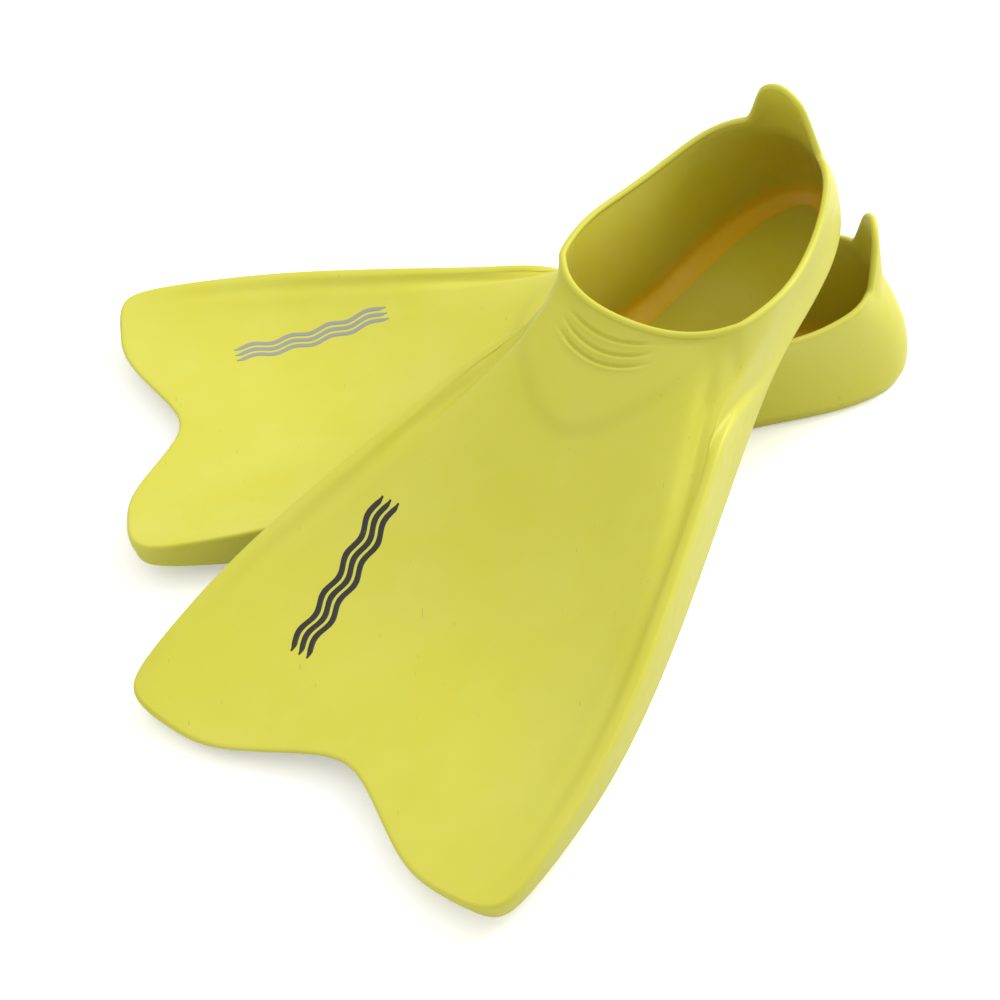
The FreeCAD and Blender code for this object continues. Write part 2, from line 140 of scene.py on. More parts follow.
RIM = [
    (OPEN_BACK, 0, HEEL_TOP),
    (OPEN_BACK, HALF_OPEN * 0.5, HEEL_TOP - 6),
    (OPEN_BACK + OPEN_LONG * 0.2, HALF_OPEN * 0.76, ANKLE + 4),
    (OPEN_BACK + OPEN_LONG * 0.445, HALF_OPEN * 0.94, ANKLE + 0.5),
    (OPEN_BACK + OPEN_LONG * 0.855, HALF_OPEN * 1.11, COLLAR_TOP + 4),
    (OPEN_FRONT, HALF_OPEN * 0.54, COLLAR_TOP),
    (OPEN_FRONT, 0, COLLAR_TOP),
]
FOOT = [
    (INSET - 1.3, 0, 0),
    (INSET - 1.3, HALF_HEEL * 0.37, 0),
    (BALL * 0.27, HALF_HEEL - INSET, 0),
    (BALL * 0.6, HALF_WAIST - INSET, 0),
    (BALL, HALF_BALL - 2 * INSET, 0),
    (mix(BALL, TOE_END, 0.5), HALF_BALL - 2 * INSET, 0),
    (TOE_END - 2, HALF_BALL * 0.62, 0),
    (TOE_END, HALF_BALL * 0.18, 0),
    (TOE_END, 0, 0),
]
SPANS, WALL_SPANS = 11, 3.0  # the three lines run side by side up to WALL_SPANS
STATIONS = np.linspace(0, SPANS, 2 * SPANS + 1)


def beside(spans, ease):
    """Where a shorter line stands beside each station of the outer edge: equal at first, then a power."""
    share = np.clip((STATIONS - WALL_SPANS) / (SPANS - WALL_SPANS), 0, 1)
    later = WALL_SPANS + (spans - WALL_SPANS) * share ** ease
    return np.where(STATIONS <= WALL_SPANS, STATIONS, later)


def outward(points, t, spans):
    """The level direction out of a line: its chord over a short step, turned a quarter turn."""
    chord = along(points, np.minimum(t + 0.02, spans)) - along(points, np.maximum(t - 0.02, 0))
    return unit(np.stack([-chord[:, 1], chord[:, 0], 0 * t], axis=1))


RIM_AT, FOOT_AT = beside(4, 0.7), beside(6, 0.8)
rim, rim_out = along(RIM, RIM_AT), outward(RIM, RIM_AT, 4)
edge, edge_out = along(EDGE, STATIONS), outward(EDGE, STATIONS, SPANS)
foot, foot_out = along(FOOT, FOOT_AT), outward(FOOT, FOOT_AT, 6)
rail_line = along(EDGE, np.linspace(2, 8, 240))


# ---- heights of the moulding ----
# The instep slopes down from the collar into the blade, which is thin and rises a little to the tip. The
# rails stand highest beside the ball of the foot and run out at the tail.

def half_width(x):
    """Half the moulding's width at x, read off its outer edge."""
    return np.interp(x, rail_line[:, 0], rail_line[:, 1])


def blade_top(x):
    """Top of the blade: its thickness at the ball, then rising with the square of the way to the tip."""
    start = WEB + 1.5
    return start + (TIP_RISE - start) * (np.maximum(0, x - BALL) / BLADE) ** 2


def underside(x):
    """Underside: level below the foot, then rising with the power 1.5 of the way to the tip."""
    return (TIP_RISE - WEB) * (np.maximum(0, x - SOLE_LENGTH) / (LENGTH - SOLE_LENGTH)) ** 1.5


def centre_top(x):
    """Top on the middle line: the blade, and the instep's height fading with a power of the way left."""
    left = np.maximum(0, 1 - np.maximum(0, x - OPEN_FRONT) / VAMP)
    return blade_top(x) + (INSTEP - blade_top(OPEN_FRONT)) * left ** 1.6


def rail_height(x):
    """Top of a rail: the blade plus a height that falls evenly, and a third less over the last stretch."""
    share = np.minimum(1, np.maximum(0, (x - BALL) / BLADE) * 1.11)
    return blade_top(x) + mix(RAIL_ROOT, RAIL_TIP, share) * (1 - 0.3 * smooth(x, LENGTH * 0.93, LENGTH))


def top(x, y):
    """Top between the rails: the middle's height turning into the rail's with a power of the way out."""
    across = np.minimum(1, abs(y) / (half_width(x) - RAIL_TOP)) ** 3.6
    return mix(centre_top(x), rail_height(x), across)


def ceiling(x, y):
    """Inside of the pocket over the toes: under the middle's top, lower beside it with a third power."""
    high = centre_top(x) - INSTEP_WALL
    return mix(high, mix(FOOTBED, high, 0.65), np.minimum(1, abs(y) / HALF_BALL) ** 3)


# ---- the skin as rings of control points ----
# The moulding's skin is a set of rings round the foot opening: down over the upper side to the outer edge,
# then down the outside. A second set goes down the inside of the pocket.

def at(points, height):
    """The same places from above, at other heights."""
    return np.stack([points[:, 0], points[:, 1], np.broadcast_to(height, len(points))], axis=1)


front = smooth(edge[:, 0], BALL * 0.7, BALL * 1.2)  # 0 beside the ankle, 1 over the instep and the blade
edge_height = mix(GIRDLE, top(edge[:, 0], edge[:, 1]), front)
FLAT_FROM = 0.94


def upper_ring(share):
    """A ring of the upper side: beside the ankle a quarter sine from the collar to the widest line, in
    front the height of the top over a straight way out, mixed by where the outer edge is."""
    start = rim + rim_out * WALL
    if share == 0:
        return start
    if share == 1:
        return at(edge, edge_height)
    wall = at(mix(start, edge, math.sin(share * math.pi / 2)), mix(start[:, 2], GIRDLE, share))
    flat = mix(start, edge - edge_out * RAIL_TOP, min(1, share / FLAT_FROM))
    return mix(wall, at(flat, top(flat[:, 0], flat[:, 1])), front[:, None])


def side_ring(share):
    """A ring of the outside: straight down from the edge, and drawn in towards the sole."""
    blade = smooth(edge[:, 0], BALL * 1.1, BALL * 1.75)
    drawn_in = mix(SOLE_ROUND, RAIL_BEVEL, blade) * smooth(share, 0.4, 1.0)
    return at(edge - edge_out * drawn_in[:, None], mix(edge_height, underside(edge[:, 0]), share))


def pocket_ring(level):
    """A ring of the inside: from the collar out to the foot's side and over it as a wall or a ceiling,
    then down to the footbed."""
    if level == 0:
        return rim
    if level == 1:
        return at(foot - foot_out * 4.0, FOOTBED)
    if level < 0.7:
        share = level / 0.7
        wall = at(mix(rim, foot, math.sin(share * math.pi / 2)), mix(rim[:, 2], GIRDLE, share))
        plan = mix(rim, foot, share)
        return mix(wall, at(plan, ceiling(plan[:, 0], plan[:, 1])), front[:, None])
    high = mix(GIRDLE, ceiling(foot[:, 0], foot[:, 1]), front)
    return at(foot, mix(high, FOOTBED, (level - 0.7) / 0.3))


def closed_ring(half):
    """A whole ring of control points whose curve passes the half ring and its mirror: each point less a
    sixth of the bend there."""
    ring = np.concatenate([half, half[-2:0:-1] * (1, -1, 1)])
    return ring - (np.roll(ring, 1, 0) - 2 * ring + np.roll(ring, -1, 0)) / 6


HEEL_COLUMNS, OTHER_COLUMNS, HEEL_UNTIL, HALF_RING = 50, 170, 3.0, 2 * SPANS
half_around = np.concatenate([
    np.linspace(0, HEEL_UNTIL, HEEL_COLUMNS, endpoint=False),
    np.linspace(HEEL_UNTIL, HALF_RING, OTHER_COLUMNS + 1),
])
around = np.concatenate([half_around, 2 * HALF_RING - half_around[-2:0:-1]])


def round_basis(u, count):
    """Uniform cubic basis of a closed curve: each control point weighs by its distance from u, counted
    round the ring."""
    gap = np.abs((u[:, None] - np.arange(count) + count / 2) % count - count / 2)
    near = (4 - 6 * gap ** 2 + 3 * gap ** 3) / 6
    return np.where(gap < 1, near, np.where(gap < 2, (2 - np.minimum(gap, 2)) ** 3 / 6, 0))


def skin(rings, v):
    """Rows of a surface through rings of control points, [row, column, xyz]: the closed basis round the
    ring and the clamped one across the rings. v is one value a row, or one for each point."""
    columns = np.einsum("uk,rkc->ruc", round_basis(around, 2 * HALF_RING), np.stack(rings))
    v = np.asarray(v, float)
    weights = clamped(v, len(rings))
    if v.ndim == 1:
        return np.einsum("vr,ruc->vuc", weights, columns)
    return np.einsum("vur,ruc->vuc", weights, columns)


# ---- the moulding ----
# One piece of satin silicone, cast in a single mould: a round lip on the collar, three shallow crescents and
# a soft crease on the instep, a pull tab drawn up from the heel, and round edges on the rails and the tail.

LIP_HEIGHT, LIP_OVERHANG = 2.4, 0.2
LIP_BASE, LIP_PAST_LEVEL = 0.42, 0.9  # share of its height below the round, and how far that turns past level
TAB_HEIGHT, TAB_LEAN, TAB_ROOT = 23.0, math.radians(4.0), 10.0
TAB_ASIDE, TAB_FOOT, TAB_SHOULDER = 4.5, 20.0, 7.5
EDGE_RADIUS, SOLE_RADIUS, FLOOR_RADIUS = 2.3, 1.5, 5.0
FILLET_ROWS, SOLE_ROWS = 9, 6  # rows of the grid round each of those corners
BELOW = -10.0  # the outside goes down this far before it is cut at the underside

UPPER = [closed_ring(upper_ring(share)) for share in (0, 0.12, 0.35, 0.6, 0.8, FLAT_FROM, 1)]
OUTSIDE = [UPPER[-1]] + [closed_ring(side_ring(share)) for share in (0.35, 0.7, 0.95)]
OUTSIDE.append(OUTSIDE[-1] * (1, 1, 0) + (0, 0, BELOW))
INSIDE = [closed_ring(pocket_ring(level)) for level in (0, 0.18, 0.4, 0.6, 0.72, 0.86, 1)]


def rounded(before, corner, after, radius, rows):
    """Rows of a rounded corner: a conic drawn to it, from the radius before the corner to the radius after
    it, or from nine tenths of the way to the neighbour where that is nearer."""
    back, on = before - corner, after - corner
    start = corner + unit(back) * np.minimum(radius, 0.9 * np.linalg.norm(back, axis=1))[:, None]
    end = corner + unit(on) * np.minimum(radius, 0.9 * np.linalg.norm(on, axis=1))[:, None]
    t = np.linspace(0, 1, rows)[:, None, None]
    pull = 2 * t * (1 - t) * 0.75
    weight = (1 - t) ** 2 + pull + t ** 2
    return ((1 - t) ** 2 * start + pull * corner + t ** 2 * end) / weight


def spine(ring, first, last):
    """The line on the middle that a flat floor closes on: y = 0, and x follows the ring's, never back."""
    half = len(half_around)
    ahead = np.maximum.accumulate(ring[:half, 0])
    share = (ahead - ahead[0]) / (ahead[-1] - ahead[0])
    share = np.concatenate([share, share[-2:0:-1]])
    return np.stack([mix(first, last, share), 0 * share, 0 * share], axis=1)


def tab_lift(points, height_here):
    """How the heel's edge is drawn up into the tab, a vector for each point: full between the shoulders,
    none past the foot, and fading over the root below the collar."""
    beside_tab = abs(points[..., 1] - TAB_ASIDE)
    aside = 1 - smooth(beside_tab, TAB_SHOULDER, TAB_FOOT)
    heel = 1 - smooth(points[..., 0], OPEN_BACK + 16, OPEN_BACK + 26)
    crown = 1 - 0.10 * np.minimum(1, beside_tab / TAB_SHOULDER) ** 2
    lift = TAB_HEIGHT * aside * heel * crown * (1 - smooth(height_here - points[..., 2], 0, TAB_ROOT))
    return np.stack([lift * math.sin(TAB_LEAN), 0 * lift, lift * math.cos(TAB_LEAN)], axis=-1)


GROOVES = ((161.4, 0.0105), (167.0, 0.0124), (171.4, 0.0120))  # where each is furthest forward, and its bow
GROOVE_DEPTH, GROOVE_ASIDE = 1.25, 5.0
CREASE_AT, CREASE_ASIDE, CREASE_BOW, CREASE_POWER = 196.5, 7.0, 0.0394, 1.85
RIDGE_HEIGHT, TROUGH_DEPTH = 0.75, 0.45
HOLLOW_DEPTH, HOLLOW_IN, HOLLOW_WIDTH = 3.8, 10.0, 4.0


def crescents(x, y):
    """Depth of the three grooves: each follows x = x0 - c (y + y0)^2 with a bell-shaped section, deepest
    in its middle and run out at its ends, and a lower bell in front of it that stands up."""
    depth = 0 * x
    for apex, bow in GROOVES:
        aside = y + GROOVE_ASIDE
        distance = (x - apex + bow * aside ** 2) / np.sqrt(1 + (2 * bow * aside) ** 2)
        section = np.exp(-(distance / 0.65) ** 2) - 0.4 * np.exp(-((distance - 1.6) / 0.9) ** 2)
        depth = depth + section * (1 - smooth(abs(aside), 14, 27))
    return GROOVE_DEPTH * depth


def instep_crease(x, y):
    """Height of the soft fold round the toes: a low ridge along x = x0 - c |y + y0|^1.85, gentle towards the
    collar and steeper towards the blade, with a shallow trough in front of it."""
    aside = abs(y + CREASE_ASIDE)
    slope = CREASE_BOW * CREASE_POWER * aside ** (CREASE_POWER - 1)
    distance = (x - CREASE_AT + CREASE_BOW * aside ** CREASE_POWER) / np.sqrt(1 + slope ** 2)
    reach = 1 - smooth(aside, 38, 50)
    ridge = smooth(distance, -30, -4) * (1 - smooth(distance, -1, 8))
    trough = smooth(distance, 1, 8) * (1 - smooth(distance, 8, 30))
    return reach * (RIDGE_HEIGHT * ridge - TROUGH_DEPTH * trough)


def rail_hollow(x, y):
    """Depth of the hollow inside a rail where it leaves the pocket: a bell across, 10 mm in from the edge,
    that comes in at the ball, thins along the rail and ends before the tail."""
    inside = half_width(x) - abs(y)
    fading = (1 - 0.72 * smooth(x, 190, 262)) * (1 - smooth(x, 340, 385))
    bell = np.exp(-((inside - HOLLOW_IN) / HOLLOW_WIDTH) ** 2)
    return HOLLOW_DEPTH * bell * smooth(x, 146, 166) * fading


def normals_of(grid):
    """Unit normals of a grid of points: the cross product of its differences along and across."""
    across = np.roll(grid, -1, 1) - np.roll(grid, 1, 1)
    down = np.gradient(grid, axis=0)
    return unit(np.cross(down, across))


# the upper side, dense where the crescents are, from the collar to just inside the outer edge
upper_rows = np.concatenate([
    np.linspace(0, 0.3, 60, endpoint=False),
    np.linspace(0.3, 0.85, 36, endpoint=False),
    np.linspace(0.85, 3.7, 40),
])
upper = skin(UPPER, upper_rows)
out_of_skin = -normals_of(upper)
detail = instep_crease(upper[..., 0], upper[..., 1]) - crescents(upper[..., 0], upper[..., 1])
detail = detail - rail_hollow(upper[..., 0], upper[..., 1])
in_front = smooth(upper[..., 0], 120, 150) * smooth(upper_rows, 0.0, 0.05)[:, None]
upper = upper + out_of_skin * (detail * in_front)[..., None]

# the outside, down to where it meets the underside, found by halving
low, high = np.zeros(len(around)), np.full(len(around), 2.0)
for _ in range(30):
    middle = (low + high) / 2
    points = skin(OUTSIDE, middle[None, :])[0]
    above = points[:, 2] > underside(points[:, 0])
    low, high = np.where(above, middle, low), np.where(above, high, middle)
side = skin(OUTSIDE, np.linspace(0, 1, 16)[:, None] * low)
corner, sole_edge = side[0], side[-1]

sole_middle = spine(sole_edge, 10.0, 350.0)
sole_shares = np.array([0.03, 0.08, 0.18, 0.35, 0.6, 0.85, 1])[:, None, None]
sole_rows = mix(sole_edge[None], sole_middle[None], sole_shares)
sole_rows[..., 2] = underside(sole_rows[..., 0])

# the inside of the pocket, its floor, and the lip that joins inside and outside
inside = skin(INSIDE, np.linspace(0, 3.55, 44))
floor_edge = skin(INSIDE, [4.0])[0]
floor_middle = spine(floor_edge, 14.0, 236.0)
floor_rows = mix(floor_edge[None], floor_middle[None], np.array([0.22, 0.4, 0.7, 1])[:, None, None])
floor_rows[..., 2] = FOOTBED

lip_height = upper[0, :, 2]
upper = upper + tab_lift(upper, lip_height)
inside = inside + tab_lift(inside, lip_height)
lip_in, lip_out = inside[0], upper[0]
aside = lip_out - lip_in
ahead = unit(np.roll(lip_in + lip_out, -1, 0) - np.roll(lip_in + lip_out, 1, 0))
aside = unit(aside - ahead * np.sum(aside * ahead, axis=1, keepdims=True))
upright = np.cross(ahead, aside)
turn = np.linspace(math.pi + LIP_PAST_LEVEL, -LIP_PAST_LEVEL, 18)[1:-1, None, None]
half_lip = WALL / 2 + LIP_OVERHANG
lip = (lip_in + lip_out) / 2 + aside * half_lip * np.cos(turn)
lip = lip + upright * LIP_HEIGHT * mix(LIP_BASE, 1, np.sin(turn))

grid = np.concatenate([
    floor_rows[::-1],
    rounded(inside[-1], floor_edge, floor_rows[0], FLOOR_RADIUS, FILLET_ROWS)[::-1],
    inside[::-1],
    lip,
    upper,
    rounded(upper[-1], corner, side[3], EDGE_RADIUS, FILLET_ROWS),
    side[3:-2],
    rounded(side[-3], sole_edge, sole_rows[1], SOLE_RADIUS, SOLE_ROWS),
    sole_rows[1:],
])
pocket_rows = len(floor_rows) + FILLET_ROWS + len(inside)

# how deep in the pocket each point is, which the painted shade of its colour follows: 0 outside, 0.5 on the
# walls, 1 at their foot
pocket_shade = np.zeros(grid.shape[:2])
pocket_height = grid[:pocket_rows, :, 2]
pocket_shade[:pocket_rows] = mix(0.25, 0.5, smooth(lip_height - pocket_height, 0.0, 20.0))
pocket_shade[:pocket_rows] += 0.5 * smooth(-pocket_height, -20.0, -8.0)
pocket_shade[:len(floor_rows)] = 0.4


BEND_FROM, BEND_TO = 258.0, 288.0  # where the blade starts to bend, and where it follows its hinge whole


def fin_mesh(keep_pocket):
    """The pocket's or the blade's part of the moulding as a closed mesh, in the fin's frame: the grid's cells
    as four-sided faces, points that coincide merged, then parted at the start of the bending zone and closed
    there with a flat end that has sharp edges."""
    rows, columns = grid.shape[:2]
    index = np.arange(rows * columns).reshape(rows, columns)
    nxt = np.roll(index, -1, axis=1)
    faces = np.stack([index[:-1], nxt[:-1], nxt[1:], index[1:]], axis=-1).reshape(-1, 4)
    mesh = bpy.data.meshes.new("moulding")
    mesh.from_pydata(grid.reshape(-1, 3).tolist(), [], faces.tolist())
    attribute = mesh.attributes.new("pocket_shade", "FLOAT", "POINT")
    attribute.data.foreach_set("value", pocket_shade.reshape(-1).astype(np.float32))
    shape = bmesh.new()
    shape.from_mesh(mesh)
    bmesh.ops.remove_doubles(shape, verts=shape.verts, dist=1e-4)
    bmesh.ops.dissolve_degenerate(shape, edges=shape.edges, dist=1e-5)
    cut = {"clear_outer": keep_pocket, "clear_inner": not keep_pocket}
    everything = shape.verts[:] + shape.edges[:] + shape.faces[:]
    bmesh.ops.bisect_plane(
        shape, geom=everything, dist=1e-4, plane_co=(BEND_FROM, 0, 0), plane_no=(1, 0, 0), **cut
    )
    open_edges = [e for e in shape.edges if e.is_boundary]
    bmesh.ops.holes_fill(shape, edges=open_edges, sides=0)
    bmesh.ops.recalc_face_normals(shape, faces=shape.faces)
    for outline in open_edges:
        outline.smooth = False
    for face in shape.faces:
        face.smooth = True
    ends = [f for f in shape.faces if all(abs(v.co.x - BEND_FROM) < 0.001 for v in f.verts)]
    for end in ends:
        end.smooth = False
    bmesh.ops.triangulate(shape, faces=ends)
    shape.to_mesh(mesh)
    shape.free()
    return mesh


def put_down(mesh, name, side):
    """An object with a copy of a mesh in a fin's place: all its points are turned and moved at once."""
    copy = mesh.copy()
    points = np.zeros(len(copy.vertices) * 3, np.float32)
    copy.vertices.foreach_get("co", points)
    copy.vertices.foreach_set("co", in_place(points.reshape(-1, 3), side).astype(np.float32).reshape(-1))
    copy.update()
    piece = bpy.data.objects.new(name, copy)
    bpy.context.scene.collection.objects.link(piece)
    return piece


# ---- satin silicone ----
# Lime-yellow silicone with a satin skin: a faint grain from the mould, and a few specks of dust and short
# hairs that it picks up. Inside the pocket the colour is painted darker as painted shade, and amber where the
# walls meet the footbed, as painted shade tinted by light passing through the silicone.

LIME = (0.60, 0.575, 0.054, 1)
# the lime, then painted shade: darker olive on the pocket's walls, and amber at their foot
LIME_AND_POCKET_SHADE = ((0.0, LIME), (0.5, (0.54, 0.46, 0.018, 1)), (1.0, (0.74, 0.46, 0.006, 1)))
HAIR = (0.30, 0.29, 0.10, 1)
PALE = (1.0, 0.98, 0.62, 1)


def shader_group(name, inputs, outputs):
    """An empty shader node group with its sockets: (kind, name, value) for each input, (kind, name) for
    each output. Returns the group and the nodes at its two ends."""
    group = bpy.data.node_groups.new(name, "ShaderNodeTree")
    for kind, label, value in inputs:
        socket = group.interface.new_socket(label, in_out="INPUT", socket_type=f"NodeSocket{kind}")
        if value is not None:
            socket.default_value = value
    for kind, label in outputs:
        group.interface.new_socket(label, in_out="OUTPUT", socket_type=f"NodeSocket{kind}")
    return group, group.nodes.new("NodeGroupInput"), group.nodes.new("NodeGroupOutput")


def noise_node(tree, vector, scale, detail=2.0, roughness=0.5):
    """A noise texture of one scale, read at a vector."""
    noise = tree.nodes.new("ShaderNodeTexNoise")
    noise.inputs["Detail"].default_value = detail
    noise.inputs["Roughness"].default_value = roughness
    if isinstance(scale, (int, float)):
        noise.inputs["Scale"].default_value = scale
    else:
        tree.links.new(scale, noise.inputs["Scale"])
    tree.links.new(vector, noise.inputs["Vector"])
    return noise.outputs["Fac"]


def range_node(tree, value, from_low, from_high, to_low, to_high):
    """A value carried from one range to another, held at the ends."""
    remap = tree.nodes.new("ShaderNodeMapRange")
    ends = {"From Min": from_low, "From Max": from_high, "To Min": to_low, "To Max": to_high}
    for label, number in ends.items():
        if isinstance(number, (int, float)):
            remap.inputs[label].default_value = number
        else:
            tree.links.new(number, remap.inputs[label])
    tree.links.new(value, remap.inputs["Value"])
    return remap.outputs["Result"]


def mix_node(tree, share, first, second):
    """Two colours mixed by a share."""
    node = tree.nodes.new("ShaderNodeMix")
    node.data_type = "RGBA"
    for socket, value in ((node.inputs["Factor"], share), (node.inputs[6], first), (node.inputs[7], second)):
        if isinstance(value, (int, float, tuple)):
            socket.default_value = value
        else:
            tree.links.new(value, socket)
    return node.outputs[2]


def satin_grain_group():
    """Moulded satin skin: fine grain as height, clouds of slightly lighter colour, and roughness that
    follows a coarser noise of its own."""
    group, start, end = shader_group(
        "satin grain",
        [("Vector", "Vector", None), ("Color", "Color", (1, 1, 1, 1)), ("Float", "Grain Scale", 1500.0),
         ("Float", "Cloud Amount", 0.06), ("Float", "Dull", 0.5), ("Float", "Bright", 0.4)],
        [("Color", "Color"), ("Float", "Roughness"), ("Float", "Height")],
    )
    vector = start.outputs["Vector"]
    grain = noise_node(group, vector, start.outputs["Grain Scale"], 3.0, 0.6)
    clouds = noise_node(group, vector, 22.0, 3.0, 0.55)
    lighter = mix_node(group, 0.5, start.outputs["Color"], PALE)
    amount = group.nodes.new("ShaderNodeMath")
    amount.operation = "MULTIPLY"
    group.links.new(range_node(group, clouds, 0.35, 0.7, 0.0, 1.0), amount.inputs[0])
    group.links.new(start.outputs["Cloud Amount"], amount.inputs[1])
    group.links.new(mix_node(group, amount.outputs[0], start.outputs["Color"], lighter), end.inputs["Color"])
    uneven = noise_node(group, vector, 140.0, 4.0, 0.6)
    rough = range_node(group, uneven, 0.3, 0.7, start.outputs["Bright"], start.outputs["Dull"])
    group.links.new(rough, end.inputs["Roughness"])
    group.links.new(grain, end.inputs["Height"])
    return group


def dust_group():
    """Sparse dust and hairs: the peaks of a fine noise, and thin streaks at the peaks of a stretched
    one, mixed in by an amount."""
    group, start, end = shader_group(
        "dust and hairs",
        [("Vector", "Vector", None), ("Color", "Color", (1, 1, 1, 1)), ("Color", "Dust Color", (0, 0, 0, 1)),
         ("Float", "Amount", 0.5)],
        [("Color", "Color")],
    )
    vector = start.outputs["Vector"]
    peaks = range_node(group, noise_node(group, vector, 800.0, 1.0), 0.79, 0.82, 0.0, 1.0)
    stretch = group.nodes.new("ShaderNodeMapping")
    stretch.inputs["Scale"].default_value = (1.0, 0.16, 0.4)
    stretch.inputs["Rotation"].default_value = (0.3, 0.2, 0.7)
    group.links.new(vector, stretch.inputs["Vector"])
    stretched = noise_node(group, stretch.outputs["Vector"], 900.0, 0.0)
    streaks = range_node(group, stretched, 0.85, 0.88, 0.0, 1.0)
    most = group.nodes.new("ShaderNodeMath")
    most.operation = "MAXIMUM"
    group.links.new(peaks, most.inputs[0])
    group.links.new(streaks, most.inputs[1])
    amount = group.nodes.new("ShaderNodeMath")
    amount.operation = "MULTIPLY"
    group.links.new(most.outputs[0], amount.inputs[0])
    group.links.new(start.outputs["Amount"], amount.inputs[1])
    dusted = mix_node(group, amount.outputs[0], start.outputs["Color"], start.outputs["Dust Color"])
    group.links.new(dusted, end.inputs["Color"])
    return group


SATIN, DUST = satin_grain_group(), dust_group()


def place_group(tree, group, **values):
    """A node that holds a group, with plain values set and sockets linked by their names."""
    node = tree.nodes.new("ShaderNodeGroup")
    node.node_tree = group
    for label, value in values.items():
        socket = node.inputs[label.replace("_", " ")]
        if isinstance(value, bpy.types.NodeSocket):
            tree.links.new(value, socket)
        else:
            socket.default_value = value
    return node


def new_material(name):
    """An empty material, its node tree, its shader and the object coordinates."""
    material = bpy.data.materials.new(name)
    material.use_nodes = True
    tree = material.node_tree
    shader = tree.nodes["Principled BSDF"]
    return material, tree, shader, tree.nodes.new("ShaderNodeTexCoord").outputs["Object"]


def finish_material(tree, shader, color, satin, strength, depth):
    """Colour, roughness and the grain's bump, given to the shader."""
    bump = tree.nodes.new("ShaderNodeBump")
    bump.inputs["Strength"].default_value = strength
    bump.inputs["Distance"].default_value = depth
    tree.links.new(satin.outputs["Height"], bump.inputs["Height"])
    tree.links.new(color, shader.inputs["Base Color"])
    tree.links.new(satin.outputs["Roughness"], shader.inputs["Roughness"])
    tree.links.new(bump.outputs["Normal"], shader.inputs["Normal"])


def silicone_material():
    """Lime satin silicone, with painted shade that darkens it and turns it amber deep in the pocket, by the
    piece's attribute for how deep a point is.
    """
    material, tree, shader, place = new_material("lime_silicone")
    # painted shade: the tone darkens and turns amber with how deep in the pocket the point is
    pocket_shade_share = tree.nodes.new("ShaderNodeAttribute")
    pocket_shade_share.attribute_name = "pocket_shade"
    lime_to_shade_ramp = tree.nodes.new("ShaderNodeValToRGB")
    lime_to_shade_ramp.color_ramp.elements.new(0.5)
    for stop, (share, color) in zip(lime_to_shade_ramp.color_ramp.elements, LIME_AND_POCKET_SHADE):
        stop.position, stop.color = share, color
    tree.links.new(pocket_shade_share.outputs["Fac"], lime_to_shade_ramp.inputs["Fac"])
    satin = place_group(
        tree, SATIN, Vector=place, Color=lime_to_shade_ramp.outputs["Color"],
        Grain_Scale=1500.0, Cloud_Amount=0.10, Dull=0.50, Bright=0.38,
    )
    dusty = place_group(tree, DUST, Vector=place, Color=satin.outputs["Color"], Dust_Color=HAIR, Amount=0.35)
    finish_material(tree, shader, dusty.outputs["Color"], satin, 0.12, 0.0002)
    shader.inputs["IOR"].default_value = 1.43
    shader.inputs["Specular IOR Level"].default_value = 0.38
    shader.inputs["Sheen Weight"].default_value = 0.06
    shader.inputs["Sheen Roughness"].default_value = 0.4
    shader.inputs["Sheen Tint"].default_value = (1.0, 1.0, 0.75, 1)
    return material


SILICONE = silicone_material()
pocket_mesh, blade_mesh = fin_mesh(True), fin_mesh(False)
for half in (pocket_mesh, blade_mesh):
    half.materials.append(SILICONE)

POCKET_NODES = ("sole", "heel_cup", "left_side", "right_side", "toe_box", "collar_bead", "heel_tab")
BLADE_NODES = ("flex_zone", "blade", "left_rail", "right_rail")
for side_name in FINS:
    pocket = put_down(pocket_mesh, f"{side_name}_pocket_moulding", side_name)
    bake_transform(pocket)
    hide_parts(*[f"{side_name}_fin_{node}" for node in POCKET_NODES])
    blade = put_down(blade_mesh, f"{side_name}_blade_moulding", side_name)
    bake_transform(blade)
    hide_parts(*[f"{side_name}_fin_{node}" for node in BLADE_NODES])

# ---- the printed mark ----
# Three stacked waves in ink, silver-grey on one fin and black on the other, printed on the blade beside the
# right rail as a thin film that stands a little proud and follows the blade's dish.

MARK_LENGTH, MARK_WIDTH, MARK_THICK = 80.0, 11.0, 0.25
MARK_MIDDLE, MARK_TURN = (300.0, -56.0), math.radians(6.5)
INK_DUST = (0.10, 0.10, 0.08, 1)
INKS = {"lower": (0.30, 0.31, 0.26, 1), "upper": (0.012, 0.013, 0.012, 1)}


